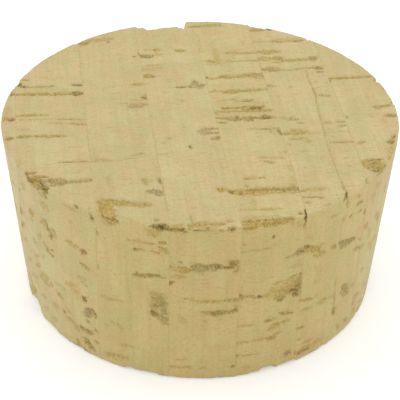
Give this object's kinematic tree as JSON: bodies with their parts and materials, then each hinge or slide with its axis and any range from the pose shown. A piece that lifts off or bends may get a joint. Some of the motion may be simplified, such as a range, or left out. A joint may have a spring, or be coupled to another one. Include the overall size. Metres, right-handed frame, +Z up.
{
  "type": "cork stopper",
  "caption": "Wide tapered stopper of natural cork, glued up from upright slabs of bark, with lenticels, growth lines and chipped rims; pushed small end first into a wide neck.",
  "frame": {"origin": "middle of the small end face, which is the lower one", "axes": "+Z up along the axis of the taper, from the small end to the large end; X through the thickness of the bark, across the glue lines; Y along the glue lines, with -Y the side that the picture shows in front"},
  "size_m": [0.0794, 0.0794, 0.0381],
  "materials": {
    "cork": "bare natural cork, cut and sanded, matte"
  },
  "bodies": {
    "root": {"cork_slab_1": "cork", "cork_slab_2": "cork", "cork_slab_3": "cork", "cork_slab_4": "cork", "cork_slab_5": "cork", "cork_slab_6": "cork", "cork_slab_7": "cork"}
  },
  "joints": []
}
